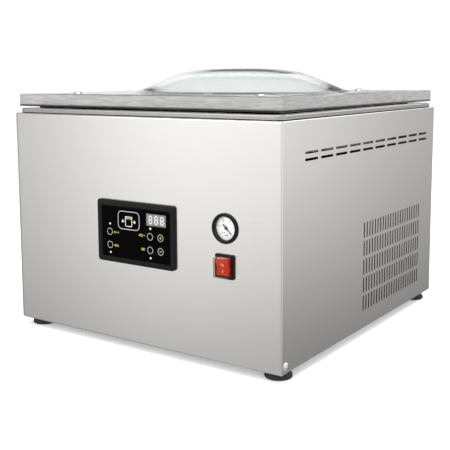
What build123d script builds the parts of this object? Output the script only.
from build123d import *
import math
import os

# Countertop chamber vacuum packing machine, millimetres.
# X runs to the machine's right, Y to its back and Z up. The origin is under the
# middle of the overall footprint, on the surface that the feet stand on.
# In the code, y values are depths behind the front panel's outer face, so that
# every depth can be read as it would be measured on the machine.

# --- housing ---------------------------------------------------------------
WIDTH = 490.0
DEPTH = 525.0
BODY_HEIGHT = 330.0
FOOT_HEIGHT = 14.0
SHEET = 1.5
SWITCH_PROUD = 14.0
SOCKET_PROUD = 3.0
FRONT = SWITCH_PROUD - (DEPTH + SWITCH_PROUD + SOCKET_PROUD) / 2
TOP = FOOT_HEIGHT + BODY_HEIGHT
BOTTOM = FOOT_HEIGHT
HALF = WIDTH / 2
PANEL_IN = HALF - SHEET
FRONT_HEM = 2.0
RETURN = 18.0
FLANGE = 14.5
LAP = 0.1
BASE_SHEET = 2.0
BASE_RIM = 22.0
FLOOR = BOTTOM + BASE_SHEET
SIDE_SCREW_Y = 9.8
SIDE_SCREW_Z = TOP - 321.3
BACK_SCREW_X = 236.0
BACK_SCREW_Z = (44.0, 180.0, 318.0)
SCREW_HOLE = 2.2
FOOT_HOLE = 2.7
SOCKET_X = -180.0
SOCKET_Z = 64.0

# --- deck and chamber ------------------------------------------------------
DECK_INSET = 4.0
DECK_TOP = TOP + 7.3
DECK_SHADOW = 1.2
DECK_CORNER = 11.0
CHAMBER_HALF = 210.0
CHAMBER_FRONT = 36.0
CHAMBER_BACK = 459.0
CHAMBER_CORNER = 25.0
CHAMBER_FLOOR = TOP - 120.0
CHAMBER_BEND = 12.0
TUB_FLANGE = 12.0

# --- lid -------------------------------------------------------------------
LID_HALF = 241.3
LID_FRONT = 5.5
LID_BACK = 517.6
LID_BOTTOM = TOP + 10.6
LID_TOP = TOP + 29.3
DOME_Y = 275.0
DOME_X_RADIUS = 190.0
DOME_Y_RADIUS = 160.0
DOME_RISE = 39.0
DOME_WALL = 9.0
SEAL_OUTER = 223.0
SEAL_FRONT = 23.0
SEAL_BACK = 472.0
SEAL_CORNER = 12.0
SEAL_WIDTH = 9.0
SEAL_DEPTH = 6.0

# --- lid hinge and gas springs ---------------------------------------------
HINGE_X = 115.0
HINGE_Y = 511.0
HINGE_Z = TOP - 16.0
SHAFT_RADIUS = 6.0
BUSH_RADIUS = 8.0
LEVER_ANGLE = 30.0
LEVER_REACH = 22.5
LEVER_TIP = LEVER_REACH / math.cos(math.radians(LEVER_ANGLE))
ROD_Y = HINGE_Y - LEVER_REACH
PIN_Z = HINGE_Z - LEVER_REACH * math.tan(math.radians(LEVER_ANGLE))
PIN_RADIUS = 3.0
FIT = 0.05

# --- sealing bar -----------------------------------------------------------
BAR_Y = 65.0
BAR_HALF = 203.0
BAR_WIDTH = 20.0
BAR_LIFT = 10.0
COUNTER_BOTTOM = LID_BOTTOM - 14.0
PAD_BOTTOM = COUNTER_BOTTOM - 8.2
TAPE = 0.3
WIRE = 0.4
TAPE_TOP = PAD_BOTTOM - BAR_LIFT - 0.7
BAR_TOP = TAPE_TOP - TAPE - WIRE
BAR_BOTTOM = BAR_TOP - 30.0
LIFT_X = 150.0
LIFT_ROD = 5.0

# --- control panel ---------------------------------------------------------
PANEL_X = 1.5
PANEL_Z = TOP - 169.3
BEZEL_SIZE = (143.0, 92.5)
BEZEL_RISE = 1.25
WINDOW_SIZE = (128.0, 75.0)
BEZEL_PROUD = 4.5
MEMBRANE_PROUD = 2.5
KEY_RADIUS = 5.5
KEY_PROUD = 0.7
KEYS = {
    "key_pump": (-46.8, TOP - 169.5),
    "key_stop": (-46.8, TOP - 189.0),
    "key_vacuum": (29.2, TOP - 169.5),
    "key_seal": (29.2, TOP - 189.0),
    "key_plus": (48.2, TOP - 169.5),
    "key_minus": (48.2, TOP - 189.0),
}
LAMPS = [(x, TOP - drop) for x in (-46.8, 29.2) for drop in (158.0, 200.6)]
LAMP_RADIUS = 1.5
DISPLAY_X = 39.5
DISPLAY_Z = TOP - 145.4
DISPLAY_SIZE = (36.0, 17.4)
BOARD_Y = 8.0

# --- vacuum gauge and mains switch -----------------------------------------
GAUGE_X = 156.5
GAUGE_Z = TOP - 144.8
GAUGE_RADIUS = 21.0
GAUGE_PROUD = 3.0
GAUGE_BODY = 18.8
GAUGE_BACK = 26.0
DIAL_RADIUS = 16.0
DIAL_Y = 3.0
DIAL_SHEET = 0.6
NEEDLE_Y = 1.5
NEEDLE_SHEET = 0.5
LENS_Y = -2.2
LENS_SHEET = 1.0
SPINDLE = 0.8
SWITCH_X = 156.4
SWITCH_Z = TOP - 196.4
SWITCH_SIZE = (31.0, 34.0)
ROCKER_SIZE = (19.4, 25.2)
ROCKER_TILT = 8.0
ROCKER_PIVOT_Y = 1.0
SWITCH_RIM = 2.5
COVER_SIZE = (21.6, 27.4)
COVER_WALL = 0.7

# --- pump set --------------------------------------------------------------
PUMP_Y = 350.0
PUMP_Z = 105.0
PUMP_HALF = 75.0
PUMP_BASE = 31.0
PUMP_TOP = 185.0
BORE_RADIUS = 45.0
ROTOR_RADIUS = 38.0
MOTOR_LEFT = 35.0
MOTOR_RIGHT = 175.0
MOTOR_SHAFT = 7.0
COWL_RIGHT = 215.0
HOSE_X = -5.0
PORT_Z = TOP - 90.0
PORT_END = 478.0
HOSE_DROP_Y = 500.0
INLET_Z = 150.0
INLET_END = 445.0


# --- helpers ---------------------------------------------------------------
def block(x0, x1, y0, y1, z0, z1):
    """A box between two corners, with depths behind the front face."""
    middle = Pos((x0 + x1) / 2, FRONT + (y0 + y1) / 2, (z0 + z1) / 2)
    return middle * Box(x1 - x0, y1 - y0, z1 - z0)


def prism(x0, x1, y0, y1, z0, z1, corner):
    """An upright slab whose four plan corners are rounded."""
    base = Pos((x0 + x1) / 2, FRONT + (y0 + y1) / 2, z0)
    return extrude(base * RectangleRounded(x1 - x0, y1 - y0, corner), z1 - z0)


def facing(x, z, y0, y1, sketch):
    """A sketch in the panel's plane, extruded from depth y0 to depth y1."""
    plane = Plane((x, FRONT + y1, z), x_dir=(1, 0, 0), z_dir=(0, -1, 0))
    return extrude(plane * sketch, y1 - y0)


def sideways(x0, x1, y, z, sketch):
    """A sketch seen from the right side, extruded from x0 to x1."""
    plane = Plane((x0, FRONT + y, z), x_dir=(0, 1, 0), z_dir=(1, 0, 0))
    return extrude(plane * sketch, x1 - x0)


def upright(x, y, z0, z1, radius):
    return extrude(Pos(x, FRONT + y, z0) * Circle(radius), z1 - z0)


def both_sides(make):
    """Builds a piece for the left and the right side of the machine."""
    return [make(side) for side in (-1, 1)]


def span(side, near, far):
    """The x limits of a piece between two distances from the middle."""
    return sorted((side * near, side * far))


def group(pieces):
    solids = []
    for piece in pieces:
        solids += piece.solids()
    return Compound(children=solids)


# --- housing ---------------------------------------------------------------
def base_plate():
    """Folded pan that closes the housing below and carries the pump."""
    half = PANEL_IN - SHEET - 2 * LAP
    y0, y1 = SHEET + 1.2, DEPTH - 3.3
    pan = block(-half, half, y0, y1, BOTTOM, BOTTOM + BASE_RIM)
    pan -= block(-half + SHEET, half - SHEET, y0 + SHEET, y1 - SHEET, FLOOR, BOTTOM + BASE_RIM)
    holes = [upright(x, y, BOTTOM, FLOOR, FOOT_HOLE) for x, y in foot_places()]
    for side in (-1, 1):
        x0, x1 = span(side, half - SHEET, half)
        holes.append(sideways(x0, x1, SIDE_SCREW_Y, SIDE_SCREW_Z, Circle(SCREW_HOLE)))
    return pan - holes


def front_panel():
    """Front sheet with folded edges, open for the controls."""
    half = PANEL_IN - LAP
    low = BOTTOM - FRONT_HEM
    outer = block(-half, half, 0, RETURN, low, TOP)
    outer = fillet(outer.faces().sort_by(Axis.Y)[0].edges(), 2.4)
    inner = block(-half + SHEET, half - SHEET, SHEET, RETURN, low + SHEET, TOP - SHEET)
    inner = fillet(inner.faces().sort_by(Axis.Y)[0].edges(), 0.9)
    under_foot = block(-half + SHEET, half - SHEET, 12, RETURN, low, low + SHEET)
    cuts = [
        facing(PANEL_X, PANEL_Z, 0, SHEET, Rectangle(131, 78)),
        facing(GAUGE_X, GAUGE_Z, 0, SHEET, Circle(19.2)),
        facing(SWITCH_X, SWITCH_Z, 0, SHEET, Rectangle(22.6, 28.6)),
    ]
    for side in (-1, 1):
        x0, x1 = span(side, half - SHEET, half)
        cuts.append(sideways(x0, x1, SIDE_SCREW_Y, SIDE_SCREW_Z, Circle(SCREW_HOLE)))
    return outer - inner - under_foot - cuts


def vent_slots():
    """Places and sizes of the side openings: y, z, length along Y, length along Z."""
    slots = []
    for column in range(10):
        for drop in (44.0, 53.5):
            slots.append((75.5 + 44.2 * column, TOP - drop, 36.0, 3.6))
    for column in range(23):
        for row in range(5):
            slots.append((244.4 + 9.94 * column, TOP - 177.0 - 28.5 * row, 3.6, 24.0))
    return slots


def side_panel(side):
    """Side sheet with its top and rear flanges and its cooling slots."""
    x0, x1 = span(side, PANEL_IN, HALF)
    f0, f1 = span(side, PANEL_IN - FLANGE, PANEL_IN)
    back = DEPTH - SHEET - LAP
    sheet = block(x0, x1, 0.6, back, BOTTOM, TOP)
    top_edge = sheet.edges().filter_by(Axis.Y).group_by(Axis.Z)[-1].sort_by(Axis.X)
    sheet = fillet(top_edge[-1 if side > 0 else 0], 1.2)
    sheet += block(f0, f1, RETURN + 0.2, back, TOP - SHEET, TOP)
    sheet += block(f0, f1, back - SHEET, back, BOTTOM, TOP)
    cuts = [sideways(x0, x1, SIDE_SCREW_Y, SIDE_SCREW_Z, Circle(SCREW_HOLE))]
    for y, z, long_y, long_z in vent_slots():
        if long_y > long_z:
            slot = SlotOverall(long_y, long_z)
        else:
            slot = SlotOverall(long_z, long_y, rotation=90)
        cuts.append(sideways(x0, x1, y, z, slot))
    for z in BACK_SCREW_Z:
        cuts.append(facing(side * BACK_SCREW_X, z, back - SHEET, back, Circle(SCREW_HOLE)))
    return sheet - cuts


def back_panel():
    """Rear sheet with notches for the hinge arms, louvre slots and the mains inlet."""
    sheet = block(-HALF, HALF, DEPTH - SHEET, DEPTH, BOTTOM, TOP)
    edge = PANEL_IN - FLANGE - 0.5
    sheet += block(-edge, edge, DEPTH - 16, DEPTH - SHEET, TOP - SHEET, TOP)
    cuts = []
    for side in (-1, 1):
        n0, n1 = span(side, HINGE_X - 10.5, HINGE_X + 10.5)
        cuts.append(block(n0, n1, DEPTH - 16, DEPTH, TOP - 22, TOP))
        for z in BACK_SCREW_Z:
            screw_x = side * BACK_SCREW_X
            cuts.append(facing(screw_x, z, DEPTH - SHEET, DEPTH, Circle(SCREW_HOLE)))
    for column in range(8):
        for row in range(3):
            x = -154 + 44 * column
            cuts.append(facing(x, TOP - 60 - 10 * row, DEPTH - SHEET, DEPTH, SlotOverall(36, 3.6)))
    cuts.append(facing(SOCKET_X, SOCKET_Z, DEPTH - SHEET, DEPTH, Rectangle(31, 23)))
    return sheet - cuts


def top_deck():
    """Stainless deck frame around the chamber mouth, standing on a recessed rim."""
    y0, y1 = DECK_INSET, DEPTH - DECK_INSET
    half = HALF - DECK_INSET
    deck = prism(-half, half, y0, y1, TOP + DECK_SHADOW, DECK_TOP, DECK_CORNER)
    deck = fillet(deck.faces().sort_by(Axis.Z)[-1].edges(), 1.8)
    rim = 1.5
    deck += prism(-half + rim, half - rim, y0 + rim, y1 - rim, TOP, TOP + 3, DECK_CORNER - rim)
    hollow = 2 * rim
    deck -= prism(-half + hollow, half - hollow, y0 + hollow, y1 - hollow,
                  TOP, DECK_TOP - SHEET, DECK_CORNER - hollow)
    deck -= prism(-CHAMBER_HALF, CHAMBER_HALF, CHAMBER_FRONT, CHAMBER_BACK,
                  TOP, DECK_TOP, CHAMBER_CORNER)
    for side in (-1, 1):
        n0, n1 = span(side, HINGE_X - 10, HINGE_X + 10)
        deck -= block(n0, n1, 476, DEPTH, TOP, DECK_TOP)
    return deck


def chamber_tub():
    """Deep-drawn chamber with a flange under the deck."""
    top = DECK_TOP - SHEET
    outer = prism(-CHAMBER_HALF - SHEET, CHAMBER_HALF + SHEET, CHAMBER_FRONT - SHEET,
                  CHAMBER_BACK + SHEET, CHAMBER_FLOOR - SHEET, top, CHAMBER_CORNER + SHEET)
    outer = fillet(outer.faces().sort_by(Axis.Z)[0].edges(), CHAMBER_BEND + SHEET)
    lip = TUB_FLANGE + SHEET
    outer += prism(-CHAMBER_HALF - lip, CHAMBER_HALF + lip, CHAMBER_FRONT - lip,
                   CHAMBER_BACK + lip, top - SHEET, top, CHAMBER_CORNER + lip)
    inner = prism(-CHAMBER_HALF, CHAMBER_HALF, CHAMBER_FRONT, CHAMBER_BACK,
                  CHAMBER_FLOOR, top, CHAMBER_CORNER)
    inner = fillet(inner.faces().sort_by(Axis.Z)[0].edges(), CHAMBER_BEND)
    port = facing(HOSE_X, PORT_Z, CHAMBER_BACK - 1, CHAMBER_BACK + 3, Circle(10))
    return outer - inner - port


def suction_filter():
    """Perforated plug through the chamber's rear wall, with its hose stub."""
    disc = facing(HOSE_X, PORT_Z, CHAMBER_BACK - 4, CHAMBER_BACK, Circle(16))
    disc = fillet(disc.faces().sort_by(Axis.Y)[0].edges(), 1.5)
    nut = facing(HOSE_X, PORT_Z, CHAMBER_BACK + SHEET, CHAMBER_BACK + 7, RegularPolygon(14, 6))
    stub = facing(HOSE_X, PORT_Z, CHAMBER_BACK - 1, PORT_END, Circle(9.9))
    bore = facing(HOSE_X, PORT_Z, CHAMBER_BACK - 1, PORT_END, Circle(6.5))
    holes = [facing(HOSE_X, PORT_Z, CHAMBER_BACK - 4, CHAMBER_BACK, Circle(1.6))]
    for turn in range(6):
        angle = math.radians(60 * turn)
        x, z = HOSE_X + 4.6 * math.cos(angle), PORT_Z + 4.6 * math.sin(angle)
        holes.append(facing(x, z, CHAMBER_BACK - 4, CHAMBER_BACK, Circle(1.6)))
    return disc + nut + stub - bore - holes


def foot_places():
    return [(x, y) for x in (-223.0, 223.0) for y in (28.0, 499.0)]


def feet():
    """Rubber feet, flared towards the floor, each with a screw pocket."""
    flank = Polyline((0, 0), (17.6, 0), (19.2, 1.6), (19.2, 4.0),
                     (14.5, FOOT_HEIGHT), (0, FOOT_HEIGHT), (0, 0))
    foot = revolve(Plane.XZ * make_face(flank), Axis.Z)
    foot -= extrude(Circle(6.5), 7.0)
    foot -= extrude(Circle(FOOT_HOLE), FOOT_HEIGHT)
    return group([Pos(x, FRONT + y, 0) * foot for x, y in foot_places()])


def pan_screw(head_radius, head_height, shank_radius, shank_length):
    """A domed screw along +Z with its head above z = 0."""
    dome = Polyline((0, 0), (head_radius, 0), (head_radius, 0.35 * head_height))
    arc = ThreePointArc((head_radius, 0.35 * head_height),
                        (0.62 * head_radius, 0.87 * head_height), (0, head_height))
    head = revolve(Plane.XZ * make_face([*dome.edges(), arc, Line((0, head_height), (0, 0))]), Axis.Z)
    slot = Pos(0, 0, head_height) * Box(1.1, 1.2 * head_radius, 1.0)
    recess = slot + Rot(0, 0, 90) * slot
    return head - recess + Pos(0, 0, -shank_length) * extrude(Circle(shank_radius), shank_length)


def screws():
    """Foot screws, the two side screws and the rear panel's screws."""
    placed = []
    foot_screw = pan_screw(4.6, 3.0, 2.5, 12.0)
    for x, y in foot_places():
        placed.append(Pos(x, FRONT + y, 7.0) * Rot(180, 0, 0) * foot_screw)
    side_screw = pan_screw(6.0, 3.0, 2.0, 6.5)
    for side in (-1, 1):
        at = Pos(side * HALF, FRONT + SIDE_SCREW_Y, SIDE_SCREW_Z)
        placed.append(at * Rot(0, 90 * side, 0) * side_screw)
        rear_screw = pan_screw(4.2, 2.4, 2.0, 6.0)
        for z in BACK_SCREW_Z:
            at = Pos(side * BACK_SCREW_X, FRONT + DEPTH, z)
            placed.append(at * Rot(-90, 0, 0) * rear_screw)
    return group(placed)


def power_inlet():
    """Appliance inlet in the rear panel, open for its connector."""
    flange = facing(SOCKET_X, SOCKET_Z, DEPTH, DEPTH + SOCKET_PROUD, RectangleRounded(50, 30, 4))
    body = facing(SOCKET_X, SOCKET_Z, DEPTH - 24, DEPTH, RectangleRounded(30, 22, 2))
    well = facing(SOCKET_X, SOCKET_Z, DEPTH - 16, DEPTH + SOCKET_PROUD, RectangleRounded(24, 16, 3))
    return flange + body - well


# --- lid -------------------------------------------------------------------
def dome_solid(drop, shrink, base):
    """Oval dome between its base plane and a swelling profile."""
    radius = DOME_X_RADIUS - shrink
    rise = DOME_RISE - drop
    crown = Spline((0, rise), (0.34 * radius, 0.97 * rise), (0.56 * radius, 0.82 * rise),
                   (0.72 * radius, 0.55 * rise), (radius, 0), tangents=[(1, 0), (1, -0.36)])
    below = Polyline((radius, 0), (radius, base), (0, base), (0, rise))
    turned = revolve(Plane.XZ * make_face([crown, *below.edges()]), Axis.Z)
    ratio = (DOME_Y_RADIUS - shrink) / radius
    return Pos(0, FRONT + DOME_Y, LID_TOP) * scale(turned, (1, ratio, 1))


def lid_plate():
    """Clear slab lid with a blown dome and a groove for the seal."""
    plate = block(-LID_HALF, LID_HALF, LID_FRONT, LID_BACK, LID_BOTTOM, LID_TOP)
    plate = chamfer(plate.edges(), 0.8)
    plate += dome_solid(0, 0, -3.0)
    plate -= dome_solid(DOME_WALL, 14.0, LID_BOTTOM - LID_TOP)
    plate -= seal_ring(0.0, LID_BOTTOM, LID_BOTTOM + SEAL_DEPTH)
    for x, y in lid_bolts():
        plate -= upright(x, y, LID_BOTTOM, LID_TOP, 4.3)
    return plate


def seal_ring(play, z0, z1):
    """The closed loop that the lid seal follows, narrowed by some play."""
    half = SEAL_OUTER - play
    y0, y1 = SEAL_FRONT + play, SEAL_BACK - play
    width = SEAL_WIDTH - 2 * play
    ring = prism(-half, half, y0, y1, z0, z1, SEAL_CORNER - play)
    return ring - prism(-half + width, half - width, y0 + width, y1 - width,
                        z0, z1, SEAL_CORNER - play - width + 1.5)


def lid_gasket():
    low = DECK_TOP + 0.2
    gasket = seal_ring(0.3, low, LID_BOTTOM + SEAL_DEPTH)
    return chamfer(gasket.faces().sort_by(Axis.Z)[0].edges(), 1.2)


def lid_bolts():
    return [(side * x, y) for side in (-1, 1) for x, y in ((172.0, BAR_Y), (HINGE_X, 492.0))]


def lid_screws():
    """Domed bolts down through the lid into the counter bar and the hinge arms."""
    bolt = pan_screw(7.5, 3.0, 4.0, LID_TOP - LID_BOTTOM + 9.0)
    return group([Pos(x, FRONT + y, LID_TOP) * bolt for x, y in lid_bolts()])


def counter_bar():
    half = BAR_HALF + 1
    bar = block(-half, half, BAR_Y - 14, BAR_Y + 14, COUNTER_BOTTOM, LID_BOTTOM)
    bar = chamfer(bar.faces().sort_by(Axis.Z)[0].edges(), 1.5)
    for side in (-1, 1):
        bar -= upright(side * 172.0, BAR_Y, LID_BOTTOM - 10, LID_BOTTOM, 4.05)
    return bar


def counter_pad():
    """Silicone strip that the sealing bar presses the bag against."""
    pad = block(-BAR_HALF, BAR_HALF, BAR_Y - 7, BAR_Y + 7, PAD_BOTTOM, COUNTER_BOTTOM)
    return fillet(pad.faces().sort_by(Axis.Z)[0].edges().filter_by(Axis.X), 2.0)


def hinge_arms():
    """Machined arms under the lid, each with a boss and a slotted lever."""
    lever = Rot(0, 0, 180 + LEVER_ANGLE)
    shape = Circle(9) + lever * Pos(12.5, 0) * Rectangle(25, 15) + lever * Pos(25, 0) * Circle(7.5)
    shape += Polygon((-8.6, -2.6), (8.6, 2.6), (3, 16), (-22, 16), align=None)
    slot = SlotOverall(2 * (PIN_RADIUS + 0.3) + LEVER_TIP - LEVER_REACH, 2 * (PIN_RADIUS + 0.6))
    shape -= lever * Pos((LEVER_TIP + LEVER_REACH) / 2, 0) * slot
    shape -= Circle(SHAFT_RADIUS + 0.02)

    def arm(side):
        x0, x1 = span(side, HINGE_X - 4, HINGE_X + 4)
        web = sideways(x0, x1, HINGE_Y, HINGE_Z, shape)
        b0, b1 = span(side, HINGE_X - 8, HINGE_X + 8)
        head = block(b0, b1, 478, 514, TOP - 2, LID_BOTTOM)
        return web + head - upright(side * HINGE_X, 492, LID_BOTTOM - 10, LID_BOTTOM, 4.05)

    return group(both_sides(arm))


def hinge_shaft():
    return sideways(-HINGE_X - 19, HINGE_X + 19, HINGE_Y, HINGE_Z, Circle(SHAFT_RADIUS))


def hinge_brackets():
    """Steel brackets on the rear panel for the shaft and the gas springs."""
    def bracket(side):
        x0, x1 = span(side, HINGE_X + 13, HINGE_X + 17)
        plate = block(x0, x1, 478, DEPTH - SHEET - LAP, TOP - 215, TOP - 2)
        b0, b1 = span(side, HINGE_X + 9.5, HINGE_X + 19)
        plate += sideways(b0, b1, HINGE_Y, HINGE_Z, Circle(11))
        f0, f1 = span(side, HINGE_X + 13, HINGE_X + 36)
        plate += block(f0, f1, DEPTH - 4.6, DEPTH - SHEET - LAP, TOP - 215, TOP - 2)
        s0, s1 = span(side, HINGE_X - 8, HINGE_X + 13)
        plate += sideways(s0, s1, ROD_Y, TOP - 199, Circle(5))
        return plate - sideways(b0, b1, HINGE_Y, HINGE_Z, Circle(BUSH_RADIUS + 0.02))

    return group(both_sides(bracket))


def hinge_bushes():
    ring = Circle(BUSH_RADIUS) - Circle(SHAFT_RADIUS + FIT)

    def bush(side):
        x0, x1 = span(side, HINGE_X + 9.5, HINGE_X + 19)
        return sideways(x0, x1, HINGE_Y, HINGE_Z, ring)

    return group(both_sides(bush))


def gas_spring_cylinders():
    def cylinder(side):
        x = side * HINGE_X
        tube = upright(x, ROD_Y, TOP - 190, TOP - 62, 11)
        tube = fillet(tube.edges(), 2)
        e0, e1 = span(side, HINGE_X - 6, HINGE_X + 6)
        tube += block(e0, e1, ROD_Y - 8, ROD_Y + 8, TOP - 208, TOP - 189)
        tube -= upright(x, ROD_Y, TOP - 150, TOP - 62, 4 + FIT)
        return tube - sideways(e0, e1, ROD_Y, TOP - 199, Circle(5 + FIT))

    return group(both_sides(cylinder))


def gas_spring_rods():
    """Piston rods with forks; each cross pin runs in a lever's slot."""
    def rod(side):
        x = side * HINGE_X
        base = block(x - 8.5, x + 8.5, ROD_Y - 6, ROD_Y + 6, PIN_Z - 24, PIN_Z + 6)
        base -= block(x - 4.5, x + 4.5, ROD_Y - 6, ROD_Y + 6, PIN_Z - 16, PIN_Z + 6)
        base += sideways(x - 8.5, x + 8.5, ROD_Y, PIN_Z, Circle(PIN_RADIUS))
        return base + upright(x, ROD_Y, TOP - 140, PIN_Z - 24, 4)

    return group(both_sides(rod))


# --- sealing bar and filler plate ------------------------------------------
def seal_bar():
    y0, y1 = BAR_Y - BAR_WIDTH / 2, BAR_Y + BAR_WIDTH / 2
    low = BAR_BOTTOM + 8
    bar = block(-BAR_HALF, BAR_HALF, y0, y1, BAR_BOTTOM, BAR_TOP)
    return bar - [block(-BAR_HALF, BAR_HALF, y, y + 3, low, low + 4) for y in (y0, y1 - 3)]


def seal_wires():
    """Two flat sealing and cutting wires along the bar's top."""
    ends = BAR_HALF - 6
    fronts = (BAR_Y - 5, BAR_Y + 2.4)
    return group([block(-ends, ends, y, y + 2.6, BAR_TOP, BAR_TOP + WIRE) for y in fronts])


def seal_tape():
    """Non-stick tape over the wires, folded down both sides of the bar."""
    ends = BAR_HALF - 3
    half = BAR_WIDTH / 2
    outer = block(-ends, ends, BAR_Y - half - TAPE, BAR_Y + half + TAPE, BAR_TOP - 10, TAPE_TOP)
    return outer - block(-ends, ends, BAR_Y - half, BAR_Y + half, BAR_TOP - 10, BAR_TOP + WIRE)


def seal_lift_rods():
    return group([upright(x, BAR_Y, CHAMBER_FLOOR + 6, BAR_BOTTOM, LIFT_ROD) for x in (-LIFT_X, LIFT_X)])


def seal_lift_cylinders():
    def cylinder(side):
        x = side * LIFT_X
        body = upright(x, BAR_Y, CHAMBER_FLOOR, CHAMBER_FLOOR + 4, 16)
        body += upright(x, BAR_Y, CHAMBER_FLOOR, CHAMBER_FLOOR + 40, 14)
        body = chamfer(body.faces().sort_by(Axis.Z)[-1].edges(), 1.5)
        return body - upright(x, BAR_Y, CHAMBER_FLOOR + 3, CHAMBER_FLOOR + 40, LIFT_ROD + FIT)

    return group(both_sides(cylinder))


def filler_plate():
    """Loose board that raises the chamber floor for small bags."""
    board = prism(-195, 195, 95, 444, CHAMBER_FLOOR + 0.1, CHAMBER_FLOOR + 20, 15)
    return chamfer(board.faces().sort_by(Axis.Z)[-1].edges(), 1.5)


# --- control panel ---------------------------------------------------------
def control_bezel():
    """Raised frame with sloping inner edges."""
    middle = PANEL_Z + BEZEL_RISE
    frame = facing(PANEL_X, middle, -BEZEL_PROUD, 0, RectangleRounded(*BEZEL_SIZE, 5))
    frame = chamfer(frame.faces().sort_by(Axis.Y)[0].edges(), 1.2)
    wide, high = WINDOW_SIZE
    frame -= facing(PANEL_X, PANEL_Z, -BEZEL_PROUD, 0, RectangleRounded(wide, high, 2))
    rim = frame.faces().sort_by(Axis.Y)[0].inner_wires()[0].edges()
    return chamfer(rim, 1.8)


def control_membrane():
    wide, high = WINDOW_SIZE
    outline = RectangleRounded(wide - 0.4, high - 0.4, 1.8)
    sheet = facing(PANEL_X, PANEL_Z, -MEMBRANE_PROUD, -MEMBRANE_PROUD + 1.2, outline)
    openings = [facing(x, z, -MEMBRANE_PROUD, 0, Circle(KEY_RADIUS + 0.15)) for x, z in KEYS.values()]
    openings += [facing(x, z, -MEMBRANE_PROUD, 0, Circle(LAMP_RADIUS + 0.1)) for x, z in LAMPS]
    wide, high = DISPLAY_SIZE
    openings.append(facing(DISPLAY_X, DISPLAY_Z, -MEMBRANE_PROUD, 0, Rectangle(wide + 0.2, high + 0.2)))
    return sheet - openings


def display_window():
    return facing(DISPLAY_X, DISPLAY_Z, -MEMBRANE_PROUD, -MEMBRANE_PROUD + 1.0, Rectangle(*DISPLAY_SIZE))


def display_digits():
    """Three seven-segment digits, each a group of seven bars."""
    bars = []
    wide, high, thick = 6.0, 12.0, 1.3
    reach = (high - thick) / 4
    across = RectangleRounded(wide - thick - 0.5, thick, 0.5)
    along = RectangleRounded(thick, 2 * reach - 0.5, 0.5)
    for digit in range(3):
        x = DISPLAY_X + (digit - 1) * 10.4
        for step in (-2, 0, 2):
            bars.append((x, DISPLAY_Z + step * reach, across))
        for half_side in (-1, 1):
            for step in (-1, 1):
                bars.append((x + half_side * (wide - thick) / 2, DISPLAY_Z + step * reach, along))
    return group([facing(x, z, -1.4, -1.1, bar) for x, z, bar in bars])


def indicator_lamps():
    def lamp(x, z):
        body = facing(x, z, -MEMBRANE_PROUD - 0.6, BOARD_Y, Circle(LAMP_RADIUS))
        return fillet(body.faces().sort_by(Axis.Y)[0].edges(), 1.0)

    return group([lamp(x, z) for x, z in LAMPS])


def key(x, z):
    """Round key cap with a plunger that stops short of its contact."""
    front = -MEMBRANE_PROUD - KEY_PROUD
    cap = facing(x, z, front, 0, Circle(KEY_RADIUS))
    cap = fillet(cap.faces().sort_by(Axis.Y)[0].edges(), 0.6)
    return cap + facing(x, z, 0, BOARD_Y - 3.6, Circle(2.2))


def control_board():
    """Circuit board with the key contacts, the display block and a connector."""
    parts = [facing(PANEL_X, PANEL_Z, BOARD_Y, BOARD_Y + 1.6, Rectangle(122, 70))]
    for x, z in KEYS.values():
        parts.append(facing(x, z, BOARD_Y - 3.0, BOARD_Y, Rectangle(6, 6)))
    wide, high = DISPLAY_SIZE
    parts.append(facing(DISPLAY_X, DISPLAY_Z, -1.1, BOARD_Y, Rectangle(wide - 2, high - 1)))
    parts.append(facing(PANEL_X - 30, PANEL_Z - 22, BOARD_Y + 1.6, BOARD_Y + 12, Rectangle(34, 10)))
    parts.append(facing(PANEL_X + 20, PANEL_Z, BOARD_Y + 1.6, BOARD_Y + 4.5, Rectangle(14, 14)))
    return group(parts)


# --- vacuum gauge ----------------------------------------------------------
def gauge_case():
    """Round case with a low rim, a dial well and a spigot for its tube."""
    case = facing(GAUGE_X, GAUGE_Z, -GAUGE_PROUD, 0, Circle(GAUGE_RADIUS))
    case = fillet(case.faces().sort_by(Axis.Y)[0].edges(), 1.8)
    case += facing(GAUGE_X, GAUGE_Z, 0, GAUGE_BACK, Circle(GAUGE_BODY))
    case += facing(GAUGE_X, GAUGE_Z, GAUGE_BACK, GAUGE_BACK + 6, Circle(4))
    well = DIAL_Y + DIAL_SHEET
    case -= facing(GAUGE_X, GAUGE_Z, -GAUGE_PROUD, well, Circle(DIAL_RADIUS))
    return case - facing(GAUGE_X, GAUGE_Z, well, well + 5, Circle(SPINDLE + FIT))


def gauge_dial():
    ring = Circle(DIAL_RADIUS - 0.1) - Circle(1.0)
    return facing(GAUGE_X, GAUGE_Z, DIAL_Y, DIAL_Y + DIAL_SHEET, ring)


def gauge_lens():
    return facing(GAUGE_X, GAUGE_Z, LENS_Y, LENS_Y + LENS_SHEET, Circle(DIAL_RADIUS - 0.1))


def gauge_pointer():
    """Tapered needle with a tail, at rest at the zero mark to the lower right."""
    turn = Rot(0, 0, -45)
    needle = turn * Polygon((-6.5, -0.9), (12.0, -0.25), (12.0, 0.25), (-6.5, 0.9), align=None)
    behind = NEEDLE_Y + NEEDLE_SHEET
    pointer = facing(GAUGE_X, GAUGE_Z, NEEDLE_Y, behind, needle + Circle(1.9))
    return pointer + facing(GAUGE_X, GAUGE_Z, behind, behind + 5.5, Circle(SPINDLE))


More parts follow.
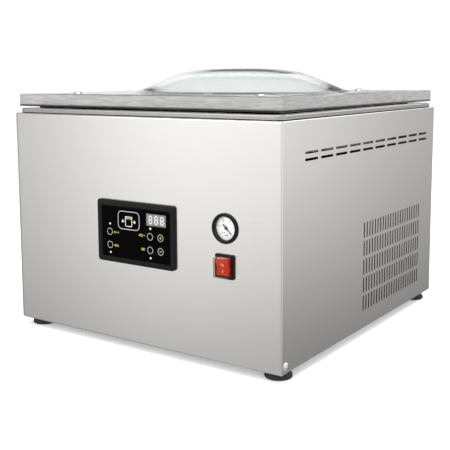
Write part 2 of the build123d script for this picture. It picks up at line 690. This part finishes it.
# --- mains switch ----------------------------------------------------------
def switch_frame():
    flange = facing(SWITCH_X, SWITCH_Z, -SWITCH_RIM, 0, RectangleRounded(*SWITCH_SIZE, 3))
    flange = chamfer(flange.faces().sort_by(Axis.Y)[0].edges(), 0.8)
    body = facing(SWITCH_X, SWITCH_Z, 0, 24, Rectangle(22.2, 28.2))
    wide, high = ROCKER_SIZE
    well = facing(SWITCH_X, SWITCH_Z, -SWITCH_RIM, 15, Rectangle(wide + 0.6, high + 0.6))
    return flange + body - well


def switch_rocker():
    """Rocker cut from a disc about its pivot, so its ends clear the frame."""
    wide, high = ROCKER_SIZE
    face = Polygon((4, 14), (-9.2, 14), (-5.6, 0), (-9.2, -14), (4, -14), align=None)
    profile = Rot(0, 0, ROCKER_TILT) * (face & Circle(high / 2))
    x0, x1 = SWITCH_X - wide / 2, SWITCH_X + wide / 2
    return sideways(x0, x1, ROCKER_PIVOT_Y, SWITCH_Z, profile)


def switch_cover():
    """Clear splash cap over the rocker."""
    wide, high = COVER_SIZE
    outer = facing(SWITCH_X, SWITCH_Z, -SWITCH_PROUD, -SWITCH_RIM, RectangleRounded(wide, high, 2))
    outer = fillet(outer.faces().sort_by(Axis.Y)[0].edges(), 1.5)
    wide -= 2 * COVER_WALL
    high -= 2 * COVER_WALL
    front = -SWITCH_PROUD + 1.2
    inner = facing(SWITCH_X, SWITCH_Z, front, -SWITCH_RIM, RectangleRounded(wide, high, 1.4))
    inner = fillet(inner.faces().sort_by(Axis.Y)[0].edges(), 0.9)
    return outer - inner


# --- pump set --------------------------------------------------------------
def pump_body():
    """Vane pump stator, bored off-centre, with cooling ribs and its inlet."""
    y0, y1 = PUMP_Y - PUMP_HALF, PUMP_Y + PUMP_HALF
    body = block(-45, MOTOR_LEFT, y0, y1, PUMP_BASE, PUMP_TOP)
    body = fillet(body.edges().filter_by(Axis.X), 12)
    for row in range(6):
        z = PUMP_BASE + 24 + 22 * row
        body -= block(-38, MOTOR_LEFT - 7, y0, y0 + 7, z, z + 11)
        if not INLET_Z - 24 <= z <= INLET_Z + 12:
            body -= block(-38, MOTOR_LEFT - 7, y1 - 7, y1, z, z + 11)
    drop = BORE_RADIUS - ROTOR_RADIUS - 0.2
    body -= sideways(-30, MOTOR_LEFT, PUMP_Y, PUMP_Z - drop, Circle(BORE_RADIUS))
    body += facing(HOSE_X, INLET_Z, y1 - 8, INLET_END, Circle(9.9))
    return body - facing(HOSE_X, INLET_Z, y1 - 12, INLET_END, Circle(6.5))


def pump_rotor():
    """Slotted rotor on the motor shaft, with three vanes."""
    slots = [Rot(0, 0, 120 * turn) * Pos(27, 0) * Rectangle(22.4, 4) for turn in range(3)]
    vanes = [Rot(0, 0, 120 * turn) * Pos(27, 0) * Rectangle(21.6, 3.8) for turn in range(3)]
    core = Circle(ROTOR_RADIUS) - Circle(MOTOR_SHAFT + 0.02) - slots
    x0, x1 = -29.5, MOTOR_LEFT - 0.5
    pieces = [sideways(x0, x1, PUMP_Y, PUMP_Z, core)]
    pieces += [sideways(x0, x1, PUMP_Y, PUMP_Z, vane) for vane in vanes]
    return group(pieces)


def oil_case():
    y0, y1 = PUMP_Y - PUMP_HALF, PUMP_Y + PUMP_HALF
    case = block(-130, -45, y0, y1, PUMP_BASE, PUMP_TOP)
    case = fillet(case.edges().filter_by(Axis.X), 12)
    case = fillet(case.faces().sort_by(Axis.X)[0].edges(), 6)
    cavity = block(-124, -45, y0 + 6, y1 - 6, PUMP_BASE + 6, PUMP_TOP - 6)
    cap = upright(-90, PUMP_Y, PUMP_TOP, PUMP_TOP + 10, 16)
    return case - fillet(cavity.edges().filter_by(Axis.X), 8) + chamfer(cap.edges(), 1)


def oil_sight_glass():
    y = PUMP_Y - PUMP_HALF
    return facing(-90, 78, y - 5, y, Circle(15)) - facing(-90, 78, y - 5, y - 3.5, Circle(12))


def motor_housing():
    """Ribbed motor body with both end walls and a foot."""
    fins = [Rot(0, 0, 15 * turn) * Pos(57, 0) * Rectangle(8, 3) for turn in range(24)]
    shell = Circle(54) + fins
    body = sideways(MOTOR_LEFT, MOTOR_RIGHT, PUMP_Y, PUMP_Z, shell)
    body += block(90, 130, PUMP_Y - 50, PUMP_Y + 50, PUMP_BASE, PUMP_BASE + 10)
    body += block(90, 130, PUMP_Y - 30, PUMP_Y + 30, PUMP_BASE, PUMP_Z - 45)
    body -= sideways(MOTOR_LEFT + 8, MOTOR_RIGHT - 8, PUMP_Y, PUMP_Z, Circle(48))
    return body - sideways(MOTOR_LEFT, MOTOR_RIGHT, PUMP_Y, PUMP_Z, Circle(MOTOR_SHAFT + 0.5))


def motor_shaft():
    shaft = sideways(-29, 200, PUMP_Y, PUMP_Z, Circle(MOTOR_SHAFT))
    return shaft + sideways(60, 150, PUMP_Y, PUMP_Z, Circle(44))


def cooling_fan():
    """Hub with eight pitched blades on the shaft's outer end."""
    fan = sideways(182, 198, PUMP_Y, PUMP_Z, Circle(15))
    axis_at = Pos(190, FRONT + PUMP_Y, PUMP_Z)
    for turn in range(8):
        fan += axis_at * Rot(45 * turn, 0, 0) * Pos(0, 0, 31) * Rot(0, 0, 28) * Box(2.5, 16, 36)
    return fan - sideways(180, 200, PUMP_Y, PUMP_Z, Circle(MOTOR_SHAFT + 0.02))


def fan_cowl():
    cup = sideways(MOTOR_RIGHT + 0.2, COWL_RIGHT, PUMP_Y, PUMP_Z, Circle(62))
    cup = fillet(cup.faces().sort_by(Axis.X)[-1].edges(), 5)
    cup -= sideways(MOTOR_RIGHT + 0.2, COWL_RIGHT - 2, PUMP_Y, PUMP_Z, Circle(60))
    holes = []
    for ring, count in ((18, 6), (32, 10), (46, 14)):
        for turn in range(count):
            slot = Rot(0, 0, 360 / count * turn) * Pos(ring, 0) * SlotOverall(14, 8, rotation=90)
            holes.append(sideways(COWL_RIGHT - 2, COWL_RIGHT, PUMP_Y, PUMP_Z, slot))
    return cup - holes


def pump_mounts():
    places = [(x, PUMP_Y + y) for x in (-90, 110) for y in (-35, 35)]
    return group([upright(x, y, FLOOR, PUMP_BASE, 12.5) for x, y in places])


def valve_block():
    """Solenoid valve manifold under the chamber, with two coils."""
    top = CHAMBER_FLOOR - SHEET
    body = block(-60, 20, 62, 108, top - 26, top)
    body = chamfer(body.edges().filter_by(Axis.Z), 2)
    for x in (-38, -2):
        body += upright(x, 85, top - 62, top - 26, 14)
        body += upright(x, 85, top - 66, top - 62, 6)
    return body + sideways(20, 26, 85, GAUGE_Z + 8, Circle(4))


def transformer():
    """Sealing transformer: laminated core with its winding."""
    core = block(-212, -136, 70, 130, FLOOR, FLOOR + 64)
    core -= [block(x, x + 15, 70, 130, FLOOR + 14, FLOOR + 50) for x in (-198, -165)]
    winding = block(-197.5, -150.5, 60, 140, FLOOR + 14.5, FLOOR + 49.5)
    winding = fillet(winding.edges().filter_by(Axis.Z), 6)
    leg = block(-183, -165, 70, 130, FLOOR + 14.5, FLOOR + 49.5)
    return group([core, winding - leg])


def swept_tube(points, bend, radius, bore):
    """A hose along straight runs that are joined by tangent arcs."""
    route = FilletPolyline(*[(x, FRONT + y, z) for x, y, z in points], radius=bend)
    start = Plane(route @ 0, z_dir=route % 0)
    return sweep(start * (Circle(radius) - Circle(bore)), path=route)


def vacuum_hose():
    return swept_tube([
        (HOSE_X, INLET_END, INLET_Z),
        (HOSE_X, HOSE_DROP_Y, INLET_Z),
        (HOSE_X, HOSE_DROP_Y, PORT_Z),
        (HOSE_X, PORT_END, PORT_Z),
    ], 20.0, 10.0, 6.5)


def gauge_tube():
    return swept_tube([
        (GAUGE_X, 32, GAUGE_Z),
        (GAUGE_X, 85, GAUGE_Z),
        (60, 85, GAUGE_Z + 8),
        (26, 85, GAUGE_Z + 8),
    ], 20.0, 3.0, 1.8)


NODES = {
    "base_plate": base_plate,
    "front_panel": front_panel,
    "left_side_panel": lambda: side_panel(-1),
    "right_side_panel": lambda: side_panel(1),
    "back_panel": back_panel,
    "top_deck": top_deck,
    "chamber_tub": chamber_tub,
    "suction_filter": suction_filter,
    "feet": feet,
    "screws": screws,
    "power_inlet": power_inlet,
    "lid_plate": lid_plate,
    "lid_gasket": lid_gasket,
    "lid_screws": lid_screws,
    "counter_bar": counter_bar,
    "counter_pad": counter_pad,
    "hinge_arms": hinge_arms,
    "hinge_shaft": hinge_shaft,
    "hinge_brackets": hinge_brackets,
    "hinge_bushes": hinge_bushes,
    "gas_spring_cylinders": gas_spring_cylinders,
    "gas_spring_rods": gas_spring_rods,
    "seal_bar": seal_bar,
    "seal_wires": seal_wires,
    "seal_tape": seal_tape,
    "seal_lift_rods": seal_lift_rods,
    "seal_lift_cylinders": seal_lift_cylinders,
    "filler_plate": filler_plate,
    "control_bezel": control_bezel,
    "control_membrane": control_membrane,
    "display_window": display_window,
    "display_digits": display_digits,
    "indicator_lamps": indicator_lamps,
    "control_board": control_board,
    "gauge_case": gauge_case,
    "gauge_dial": gauge_dial,
    "gauge_lens": gauge_lens,
    "gauge_pointer": gauge_pointer,
    "switch_frame": switch_frame,
    "switch_rocker": switch_rocker,
    "switch_cover": switch_cover,
    "pump_body": pump_body,
    "pump_rotor": pump_rotor,
    "oil_case": oil_case,
    "oil_sight_glass": oil_sight_glass,
    "motor_housing": motor_housing,
    "motor_shaft": motor_shaft,
    "cooling_fan": cooling_fan,
    "fan_cowl": fan_cowl,
    "pump_mounts": pump_mounts,
    "valve_block": valve_block,
    "transformer": transformer,
    "vacuum_hose": vacuum_hose,
    "gauge_tube": gauge_tube,
}
for name, place in KEYS.items():
    NODES[name] = lambda place=place: key(*place)

os.makedirs("parts", exist_ok=True)
for name, make in NODES.items():
    export_step(make(), os.path.join("parts", name + ".step"))
